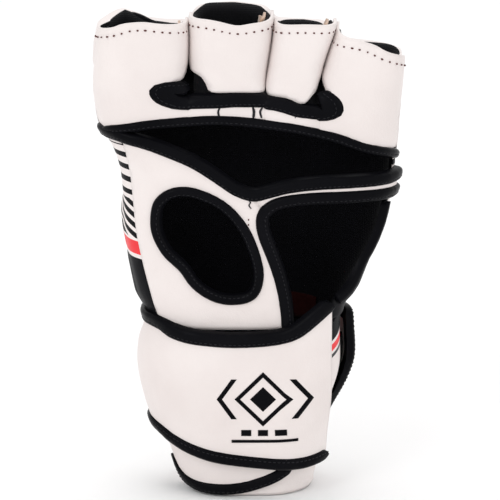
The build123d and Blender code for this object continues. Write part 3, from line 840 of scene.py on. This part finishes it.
def web(k):
    """Raw leather gusset at the little-finger side of a tube's mouth."""
    verts = []
    columns, rows = 14, 7
    for i in range(columns + 1):
        t = i / columns
        angle = math.radians(48 + 84 * t)
        deep = 15 * math.sin(math.pi * (0.12 + 0.8 * t))
        top = tube_lip(k, angle) - 0.6
        verts += [tube_point(k, angle, top - deep * j / rows, -1.9) for j in range(rows + 1)]
    return thicken(make_object(f"{FINGER_NAMES[k]}_web_right", verts, grid(columns, rows)), 0.0011)


STRIP_SEAMS = [(-14.6, 0.5), (1.6, -0.3), (5.0, 0.6), (21.4, -0.5)]         # across, and their lean


def build_fingers():
    """The four finger tubes and their palm edge."""
    finish_piece(finger_panel(), white_leather, "fingers", ["finger_panel"])
    middle = sleeve("middle_sleeve_leather", 1, MIDDLE_CORNER[:-1] + MIDDLE_FOOT, 11.0)
    finish_piece(middle, white_leather, "fingers", ["middle_sleeve"])
    ring_front = sleeve("ring_sleeve_leather", 2, RING_FOOT[:-1] + RING_CORNER, 23.0)
    finish_piece(ring_front, white_leather, "fingers", ["ring_sleeve"])
    hem = [(side_line(175, -1, -6), 175.0)] + on_palm(PANEL_HEM[1:-1]) + [(side_line(165, 1, -6), 165.0)]
    bound_edge("panel_hem_binding", curve(hem, 1.2), wrap, "fingers", ["finger_panel_binding"])
    bound_edge("slot_band", curve(on_fingers(SLOT_BAND), 1.0), finger_sheet, "fingers", ["slot_binding"])
    liner = [(-46, 207.5), (-44, 192), (-10, 189.5)], [(-10, 189.5), (25, 186), (44, 186.5)], \
            [(44, 186.5), (44, 206)], [(44, 206), (28, 212), (7, 206)], [(7, 206), (-20, 212), (-28, 218)], \
            [(-28, 218), (-46, 207.5)]
    liner = outline(*[on_fingers(edge) for edge in liner])
    finish_piece(shell("slot_gusset", liner, finger_sheet, -0.9, 0.2, puff=0.0), lining_cloth, "fingers")
    for i, (x, lean) in enumerate(STRIP_SEAMS):
        path = curve(on_fingers([(x + lean, 192.6), (x - 0.6 * lean, 190.6), (x + 0.4 * lean, 187.6)]), 0.6)
        seam_thread(f"strip_seam_{i + 1}", path, finger_sheet, 0.75, LEATHER_OUT - 0.2, LEATHER_OUT + 0.55,
                    "fingers")
    for k, name in enumerate(FINGER_NAMES):
        finish_piece(tube_lining(k), lining_cloth, "fingers", [f"{name}_lining"])
        lip = FRONT_LIPS[k]
        row = [((k + 0.04) * SHEET, lip[0][1])] + on_fingers(lip[1:-1]) + [((k + 0.96) * SHEET, lip[-1][1])]
        path = offset_path(curve(row, 1.0), -3.7)
        stitches = stitch_row(f"{name}_lip_stitches", path, finger_sheet, LEATHER_OUT + 0.35, 3.9, 1.15, 0.45)
        finish_piece(stitches, brown_thread, "fingers")
    for k, node in enumerate(("index_middle_web", "middle_ring_web", "ring_pinky_web")):
        finish_piece(web(k), tan_suede, "fingers", [node])


# ---------------------------------------------------------------- the palm
def thumb_panel():
    """The palm's leather round the thumb hole."""
    seam = on_palm(THUMB_SEAM)
    right = on_palm(LOWER_OPENING[5:])
    top = on_palm([(4.4, 146.0)] + [(1, 150.6)] + PALM_OPENING[1:7][::-1] + [THUMB_SEAM[0]])
    loop = outline(seam, [seam[-1], right[-1]], right[::-1], [right[0], top[0]], top)
    hole = curve(on_palm(THUMB_HOLE), 1.5, closed=True)

    def relief(u, z, d):
        wave = 0.9 * noise.noise(Vector((u * 0.04, z * 0.035, 5.0)))
        pleat = 0.3 * math.sin(z * 0.8 + u * 0.25) * math.exp(-d / 3.5)
        return (wave + pleat) * (1 - math.exp(-d / 5.0))

    return shell("thumb_panel_leather", loop, wrap, LEATHER_IN, LEATHER_OUT, holes=[hole], puff=0.8,
                 relief=relief)


def grip_surface(w, z, grow):
    """The palm's surface, with the grip strap standing a little proud of it at the little-finger side."""
    lift = 2.0 * smooth(42, 70, w) * math.exp(-((z - 152) / 14) ** 2)
    return wrap(w, z, grow + lift)


def opening_surface(w, z, grow):
    """The edge beside the lower opening, which climbs onto the wrist strap at its foot."""
    return wrap(w, z, grow + 4.0 * smooth(-116, -98, -z))


def build_palm():
    """The thumb panel, the grip strap and the edges of the openings."""
    finish_piece(thumb_panel(), white_leather, "hand", ["thumb_panel"])
    hole = curve(on_palm(THUMB_HOLE), 1.0, closed=True)
    bound_edge("thumb_hole_edge", hole, wrap, "hand", ["thumb_hole_binding"], closed=True)
    edge = [(side_line(177, -1, -4), 177.6)] + on_palm(PALM_OPENING[:-1]) + [(side_line(155, 1, -3), 155.6)]
    bound_edge("palm_opening_edge", curve(edge, 1.1), grip_surface, "hand", ["palm_opening_binding"])
    lower = [(side_line(148, 1, -3), 147.4)] + on_palm(LOWER_OPENING[1:])
    bound_edge("lower_opening_edge", curve(lower, 1.1), grip_surface, "hand", ["lower_opening_binding"])
    grip = outline(on_palm(PALM_OPENING[7:]), on_palm([PALM_OPENING[-1], LOWER_OPENING[0]]),
                   on_palm(LOWER_OPENING[:6]), on_palm([LOWER_OPENING[5], PALM_OPENING[7]]))
    grip = shell("grip_strap_leather", grip, grip_surface, LEATHER_IN, LEATHER_OUT, spacing=1.6, puff=0.8)
    finish_piece(grip, white_leather, "hand", ["grip_strap"])
    side = curve(on_palm(OPENING_SIDE), 1.1)
    bound_edge("opening_side_edge", side, opening_surface, "hand", ["opening_side_binding"])
    zigzag = curve(on_palm([(-0.9, 148.7), (0.2, 147.2), (-0.5, 145.8), (0.6, 144.2)]), 0.5)
    seam_thread("junction_thread", zigzag, wrap, 0.7, LEATHER_OUT, LEATHER_OUT + 0.9, "hand")
    dots = [Vector((unroll(-0.7, z), z)) for z in (139.4, 136.4, 133.6)]
    dots = stitch_row("junction_dots", dots, wrap, LEATHER_OUT + 0.4, 2.6, 0.9, 0.35)
    finish_piece(dots, brown_thread, "hand")


# ---------------------------------------------------------------- the back
def back_surface(w, z, grow):
    """The form's surface over the back's padding."""
    return wrap(w, z, grow, padded=True)


BACK_TOP = [(-73, 222.5), (-67, 225.2), (-61, 228.4), (-56, 226.6), (-50, 223.6), (-40, 222.4),
            (-29, 222.4), (-26, 229.6), (-8, 231.4), (9, 229.2), (13, 223.4), (38, 222.0), (43, 213.6),
            (56, 212.0), (76, 210.0)]
BACK_LOW, BACK_HIGH = 86.0, 236.0
CHANNELS = (-29.0, 9.5, 38.5)           # between the fingers' pads
CREASES = (FOLD_HEIGHT + 1.5, 199.0)    # across the knuckles
CHANNEL_DEPTH = 3.6
LIP_START = 200         # the sheet's top follows the lips above here
SIDES_FIXED = 205       # and its sides stay where they are above here


def back_sheet(rows, columns, rise):
    """Points of the back from the thumb seam round to the little-finger side, with their sheet places."""
    verts, uvs = [], []
    for r in range(rows + 1):
        z = BACK_LOW + (BACK_HIGH - BACK_LOW) * r / rows
        for k in range(columns + 1):
            s = k / columns
            height = z
            if z > LIP_START:
                seen = back_place(s, z, *back_edges(min(z, SIDES_FIXED)), True)
                top = height_at(BACK_TOP, back_surface(seen, z, 0).x)
                height = LIP_START + (z - LIP_START) * (top - LIP_START) / (BACK_HIGH - LIP_START)
            edges = back_edges(min(height, SIDES_FIXED))
            verts.append(rise(s, height, edges))
            uvs.append((back_place(s, height, *edges, True), height))
    return verts, uvs


def seam_at(seam, z):
    """Where a seam that runs down crosses a height."""
    for (x1, z1), (x2, z2) in zip(seam, seam[1:]):
        if z2 <= z <= z1:
            return x1 + (x2 - x1) * (z - z1) / (z2 - z1)
    return seam[-1][0] if z < seam[-1][1] else seam[0][0]


def back_edges(z):
    """Where the back's sheet starts and ends at a height."""
    tucked = -9.0 + 4.5 * smooth(196, 212, z)
    start = side_line(z, -1, tucked)
    seam = unroll(seam_at(THUMB_SEAM, z), z, LEATHER_OUT)
    start = seam + (start - seam) * smooth(173, 180, z)
    end = side_line(z, 1, tucked)
    seam = unroll(seam_at(OPENING_SIDE, z), z, LEATHER_OUT)
    end = seam + (end - seam) * smooth(138, 150, z)
    return start, end


def back_place(s, z, start, end, padded):
    """The w at the share s of the way round the back."""
    if s <= 0.5:
        return start + (back_w(0, z, -1, padded) - start) * (s / 0.5)
    middle = back_w(0, z, 1, padded)
    return middle + (end - middle) * ((s - 0.5) / 0.5)


def channel_depth(x, z):
    """0 on the pads and 1 in the sewn channels between them."""
    depth = max(math.exp(-((x - c) / 1.9) ** 2) * smooth(164, 176, z) for c in CHANNELS)
    for height in CREASES:
        depth = max(depth, math.exp(-((z - height) / 1.7) ** 2))
    return max(depth, math.exp(-((z - 134 + 0.006 * x ** 2) / 1.7) ** 2))


def outer_back(s, z, edges):
    """The padded back's outer face, pressed in at its seams and channels."""
    w = back_place(s, z, *edges, True)
    point = back_surface(w, z, 0)
    depth = smooth(2, 22, point.y)
    tuck = 0.7 * max(0.0, 1 - min(s, 1 - s) / 0.04)
    return back_surface(w, z, LEATHER_OUT - 0.3 - tuck - CHANNEL_DEPTH * depth * channel_depth(point.x, z)
                        - 1.4 * smooth(231, 236, z))


def inner_back(s, z, edges):
    """The padded back's inner face."""
    return wrap(back_place(s, z, *edges, False), z, LEATHER_IN - 0.3)


def swell(piece, pinned, pressure, cap):
    """Blow a padded sheet up from behind with the cloth simulation, held at its seams and channels."""
    group = piece.vertex_groups.new(name="sewn")
    for index, weight in enumerate(pinned):
        if weight > 0:
            group.add([index], weight, "REPLACE")
    before = [v.co.copy() for v in piece.data.vertices]
    cloth = piece.modifiers.new("cloth", "CLOTH")
    settings = cloth.settings
    settings.quality = 6
    settings.mass = 0.25
    settings.tension_stiffness = settings.compression_stiffness = 12
    settings.shear_stiffness = 6
    settings.bending_stiffness = 0.4
    settings.shrink_min = -0.025
    settings.use_pressure = True
    settings.uniform_pressure_force = pressure
    settings.vertex_group_mass = "sewn"
    settings.effector_weights.gravity = 0
    scene = bpy.context.scene
    for frame_number in range(1, 21):
        scene.frame_set(frame_number)
    apply_modifiers(piece)
    scene.frame_set(1)
    moved = 0.0
    for vertex, place in zip(piece.data.vertices, before):
        step = vertex.co - place
        if step.length > cap:
            vertex.co = place + step * (cap / step.length)
        moved = max(moved, (vertex.co - place).length)
    print("swell", piece.name, "moved at most", round(moved * 1000, 2), "mm")


BACK_NODES = ("back_cover", "finger_back_cover", "thumb_side_panel", "back_pad", "index_pad", "middle_pad",
              "ring_pad", "pinky_pad")


def build_back():
    """The printed back over its foam: one pillow from the thumb seam round to the little-finger side."""
    rows, columns = 62, 84
    width = columns + 1
    verts, uvs = back_sheet(rows, columns, outer_back)
    faces = grid(rows, columns)
    front = make_object("back_leather", verts, faces, uvs)
    pinned = []
    for i, point in enumerate(verts):
        r, k = divmod(i, width)
        rim = r < 2 or r > rows - 2 or k < 2 or k > columns - 2
        depth = smooth(0, 14, point.y) * channel_depth(point.x, point.z)
        pinned.append(1.0 if rim or depth > 0.55 or point.y < -4 else 0.0)
    swell(front, pinned, 4.0, 0.007)
    places = [Vector((v.co.x / MM, v.co.y / MM + DEPTH_MIDDLE, v.co.z / MM)) for v in front.data.vertices]
    bpy.data.objects.remove(front)
    inner, _ = back_sheet(rows, columns, inner_back)
    count = len(places)
    faces += [tuple(i + count for i in reversed(f)) for f in faces]
    rim = [r * width for r in range(rows)] + [rows * width + k for k in range(columns)]
    rim += [r * width + columns for r in range(rows, 0, -1)] + list(range(columns, 0, -1))
    faces += [(a, b, b + count, a + count) for a, b in zip(rim, rim[1:] + rim[:1])]
    piece = outward(make_object("back_leather", places + inner, faces, uvs + uvs))
    piece.data.materials.append(printed_leather)
    piece.data.materials.append(mesh_cloth)
    for polygon in piece.data.polygons:
        polygon.material_index = int(min(polygon.vertices) >= count)
    smooth_it = piece.modifiers.new("smooth", "SUBSURF")
    smooth_it.levels = smooth_it.render_levels = 1
    apply_modifiers(piece)
    place_piece(piece, None, BACK_NODES)
    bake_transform(piece)


def inside_back(x, z, grow):
    """The form's back face over x and z."""
    return wrap(back_w(x, z, 1), z, grow)


def build_label():
    """A woven label inside the back, above the wrist."""
    patch = ring((20, 76), (36, 76), (36, 87), (20, 88.5))
    piece = shell("woven_label", patch, inside_back, -2.3, -1.6, puff=0.0)
    finish_piece(piece, label_cloth, "hand", ["inner_label"])


def build_lining():
    """The mesh lining inside the back and the sides, in one sheet across the knuckles."""
    rows, columns = 80, 72
    verts, uvs = [], []
    for r in range(rows + 1):
        z = 8 + 192 * r / rows
        start, end = side_line(z, -1, -14.0), side_line(z, 1, -4.0)
        for k in range(columns + 1):
            w = share_round(k / columns, 0.5, start, back_w(0, z, -1), back_w(0, z, 1), end)
            soft = 0.7 * noise.noise(Vector((w * 0.06, z * 0.05, 12.0)))
            verts.append(wrap(w, z, -0.4 + soft * 0.6))
            uvs.append((w, z))
    piece = thicken(make_object("mesh_lining", verts, grid(rows, columns), uvs), 0.0008)
    finish_piece(piece, mesh_cloth, None, ["back_lining", "knuckle_lining"])
    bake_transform(piece)


# ---------------------------------------------------------------- the wrist
STRAP_TOP, STRAP_FOOT = 82.3, 23.7       # middles of the dorsal strap's bindings
TAB_START, TAB_EDGE = 15.0, 7.0
TAB_ROOM = 1.0          # the tab's binding starts this much later
STRAP_ROOM = 2.0        # and the strap ends this much earlier
CUFF_PALM_TOP, CUFF_BACK_TOP, CUFF_BASE = 78, 92, 0.15


def strap_surface(w, z, grow):
    """The wrist strap's surface, with the soft waves of its leather."""
    hug = 3.4 * smooth(70, 86, z) * smooth(22, 48, -w) * smooth(-95, -70, w)
    return wrap(w, z, grow - hug + 0.45 * noise.noise(Vector((w * 0.035, z * 0.05, 2.0))))


def strap_lines():
    """The strap's upper and lower binding lines, from the palm span's end round the thumb side to the tab."""
    end = TAB_START - STRAP_ROOM
    top = on_palm(BAND_TOP, STRAP_OUT) + [(side_line(86, -1, 2), 85.0)]
    top += [(back_w(x, 84, -1), STRAP_TOP + lift) for x, lift in ((-28, 0.6), (-8, 0.0), (end, 0.0))]
    foot = on_palm(BAND_BOTTOM, STRAP_OUT) + [(side_line(34, -1, 2), 33.4), (back_w(-24, 28, -1), 27.5)]
    foot += [(back_w(x, 24, -1), STRAP_FOOT) for x in (-8, end)]
    return curve(top, 1.3), curve(foot, 1.3)


def along_path(path, share):
    """The point at a share of the way along a path."""
    f = share * (len(path) - 1)
    i = min(len(path) - 2, int(f))
    return path[i].lerp(path[i + 1], f - i)


def build_wrist():
    """The wrist strap: one leather from the palm round the thumb side to the back, and its two bindings."""
    top, foot = strap_lines()
    rows, columns = 30, 150
    verts, uvs = [], []
    for k in range(columns + 1):
        a, b = along_path(top, k / columns), along_path(foot, k / columns)
        for r in range(rows + 1):
            t = r / rows
            p = b.lerp(a, t)
            ends = wrap(b.x, b.y, 0), wrap(a.x, a.y, 0)
            if min(ends[0].y, ends[1].y) > 15:
                p.x = back_w(ends[0].x + (ends[1].x - ends[0].x) * t, p.y, -1)
            verts.append(strap_surface(p.x, p.y, STRAP_OUT + 0.7 * math.sin(math.pi * t) ** 0.5))
            uvs.append((p.x, p.y))
    band = outward(thicken(make_object("strap_leather", verts, grid(columns, rows), uvs), 0.0022, -1))
    finish_piece(band, white_leather, None, ["wrist_band", "strap_back", "wrist_band_lining"])
    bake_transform(band)
    for name, path, side in (("strap_top_edge", top, "top"), ("strap_foot_edge", foot, "bottom")):
        nodes = [f"wrist_band_{side}_binding", f"strap_back_{side}_binding"]
        bound_edge(name, path, strap_surface, None, nodes)


def build_tab():
    """The peel-back closure tab, from the back round to the little-finger side, and its closure."""
    high, low = STRAP_TOP, STRAP_FOOT
    start = TAB_START + TAB_ROOM
    free = [(high, 12, high), (78, 7, 78.5), (68, 5.8, 68), (55, 7.2, 55), (42, 11, 42), (32, 16, 31),
            (low, 24, low)]
    edge = [(back_w(start, high, 1), high), (back_w(30, high, 1), high)]
    edge += [(side_line(level_at, 1, depth), z) for level_at, depth, z in free]
    path = curve(edge + [(back_w(28, low, 1), low), (back_w(start, low, 1), low)], 1.2)
    loop = [tuple(p) for p in path] + [(back_w(TAB_START, z, 1), z) for z in np.linspace(low, high, 30)[1:-1]]
    tab = shell("tab_leather", loop, wrap, STRAP_IN, STRAP_OUT, puff=0.9)
    finish_piece(tab, white_leather, "strap_tab", ["strap_tab"])
    bound_edge("tab_edge", path, wrap, "strap_tab", ["strap_tab_binding"])

    def tape(name, start, low, high, depth, inner, outer, body, node):
        heights = np.linspace(low, high, 16)
        loop = [(back_w(start, z, 1), z) for z in heights]
        loop += [(side_line(z, 1, depth), z) for z in heights[::-1]]
        finish_piece(shell(name, loop, wrap, inner, outer, puff=0.0), hook_cloth, body, [node])

    tape("hook_tape", 22, 36, 70, 15, STRAP_IN - 0.9, STRAP_IN - 0.1, "strap_tab", "hook_patch")
    tape("loop_tape", 12, 33, 73, TAB_EDGE, LEATHER_OUT - 0.1, LEATHER_OUT + 0.9, "hand", "loop_patch")


def share_round(s, half, start, left, right, end):
    """The w at the share s of the way round: from start to left up to half, then from right to end."""
    if s <= half:
        return start + (left - start) * (s / half)
    return right + (end - right) * ((s - half) / (1 - half))


def build_cuff():
    """The inner cuff below and under the strap."""
    hem = curve([(side_line(13, -1, -3), 14.5)] + on_palm(CUFF_HEM[1:]), 1.2)
    top_right = (unroll(19, 60), CUFF_PALM_TOP)
    top_left = (side_line(CUFF_PALM_TOP, -1, -1), CUFF_PALM_TOP)
    loop = [tuple(p) for p in hem] + outline([tuple(hem[-1]), top_right], [top_right, top_left],
                                             [top_left, tuple(hem[0])])
    palm = shell("cuff_palm_leather", loop, wrap, 1.4, 3.0, puff=0.6)
    finish_piece(palm, white_leather, "hand", ["cuff_palm"])
    bound_edge("cuff_edge", hem, wrap, "hand", ["cuff_palm_binding"])
    rows, columns = 40, 120
    verts, uvs = [], []
    for r in range(rows + 1):
        for k in range(columns + 1):
            s = k / columns
            top = CUFF_PALM_TOP + (CUFF_BACK_TOP - CUFF_PALM_TOP) * smooth(0.22, 0.30, s)
            z = CUFF_BASE + top * r / rows
            w = share_round(s, 0.6, unroll(-14, z), back_w(0, z, 1), back_w(0, z, -1), side_line(z, -1, -1.5))
            rise = 1.3 + 0.25 * noise.noise(Vector((w * 0.06, z * 0.06, 6.0)))
            rise += 0.9 * math.exp(-((z - 2.2) / 1.6) ** 2)
            verts.append(wrap(w, z, rise))
            uvs.append((w, z))
    piece = outward(thicken(make_object("cuff_back_leather", verts, grid(rows, columns), uvs), 0.0012, -1))
    finish_piece(piece, side_leather, "hand", ["cuff_back", "cuff_lining"])


MARK_X, MARK_Z = 6.2, 51.0      # middle of the mark's diamonds


def build_emblem():
    """A plain generic mark: two diamonds between chevrons, over three blocks and a bar."""
    def closed_loop(points):
        return [p for a, b in zip(points, points[1:] + points[:1]) for p in line(a, b, 1.0)]

    def diamond(size):
        return closed_loop([(MARK_X, MARK_Z - size), (MARK_X + size, MARK_Z), (MARK_X, MARK_Z + size),
                            (MARK_X - size, MARK_Z)])

    def bar(middle, half, low, high):
        left, right = MARK_X + middle - half, MARK_X + middle + half
        return closed_loop([(left, low), (right, low), (right, high), (left, high)])

    def chevron(side):
        tip, arm = MARK_X + side * 19.5, MARK_X + side * 12.5
        thick = side * 2.6
        high, low = MARK_Z + 10, MARK_Z - 10
        return closed_loop([(tip, MARK_Z), (arm, high), (arm + thick, high), (tip + thick, MARK_Z),
                            (arm + thick, low), (arm, low)])

    shapes = [("mark_outer", diamond(13.6), [diamond(10.9)]), ("mark_inner", diamond(6.2), []),
              ("mark_left", chevron(-1), []), ("mark_right", chevron(1), []),
              ("mark_base", bar(0, 15, 29.2, 30.6), [])]
    shapes += [(f"mark_block_{i + 1}", bar(x, 2.4, 32.6, 35.6), []) for i, x in enumerate((-8, 0, 8))]
    for name, loop, holes in shapes:
        piece = shell(name, loop, strap_surface, STRAP_OUT + 0.4, STRAP_OUT + 1.15, 1.6, holes, puff=0.0)
        nodes = ["emblem_patch"] if name == "mark_outer" else []
        finish_piece(piece, black_leather, "hand", nodes)


# ---------------------------------------------------------------- studio
FLOOR_REACH, FLOOR_LEVEL = 7.0, -0.0003         # metres, as are all lengths in the studio
TARGET = Vector((0, 0, 0.115))
CAMERA_ANGLE, CAMERA_DISTANCE, FRAME_WIDTH = math.radians(15), 2.4, 0.240
LAMPS = {"key": ((-0.9, -1.3, 1.2), 0.7, 6),             # place, size, power
         "fill": ((1.2, -1.0, 0.7), 1.0, 2),
         "top": ((0.0, 0.5, 1.5), 0.8, 4)}


def stand(name, data, place):
    """Put a lamp or a camera at a place, facing the glove."""
    thing = bpy.data.objects.new(name, data)
    thing.location = place
    thing.rotation_euler = (TARGET - Vector(place)).to_track_quat("-Z", "Y").to_euler()
    bpy.context.scene.collection.objects.link(thing)
    return thing


def studio():
    """A pale floor, soft lamps and the camera."""
    floor_mesh = bpy.data.meshes.new("floor")
    signs = (-1, -1), (1, -1), (1, 1), (-1, 1)
    corners = [(x * FLOOR_REACH, y * FLOOR_REACH, FLOOR_LEVEL) for x, y in signs]
    floor_mesh.from_pydata(corners, [], [(0, 1, 2, 3)])
    floor = bpy.data.objects.new("floor", floor_mesh)
    bpy.context.scene.collection.objects.link(floor)
    paper = Shade("paper")
    colour = paper.tones(paper.texture("Noise", 8.0), 0.3, (0.93, 0.93, 0.93, 1), 0.7, (0.95, 0.95, 0.95, 1))
    floor_mesh.materials.append(paper.finish([], Base_Color=colour, Roughness=0.9))
    world = bpy.data.worlds.new("studio")
    bpy.context.scene.world = world
    world.use_nodes = True
    background = world.node_tree.nodes["Background"]
    background.inputs["Color"].default_value = (1, 1, 1, 1)
    background.inputs["Strength"].default_value = 0.95
    for name, (place, size, power) in LAMPS.items():
        light = bpy.data.lights.new(name, "AREA")
        light.energy, light.size = power, size
        stand(name, light, place)
    lens = bpy.data.cameras.new("camera")
    lens.lens = lens.sensor_width * CAMERA_DISTANCE / FRAME_WIDTH
    away = Vector((0, -math.cos(CAMERA_ANGLE), math.sin(CAMERA_ANGLE)))
    bpy.context.scene.camera = stand("camera", lens, TARGET + CAMERA_DISTANCE * away)
    bpy.context.scene.view_settings.view_transform = "Standard"


build_fingers()
build_palm()
build_back()
build_lining()
build_label()
build_wrist()
build_tab()
build_cuff()
build_emblem()
studio()
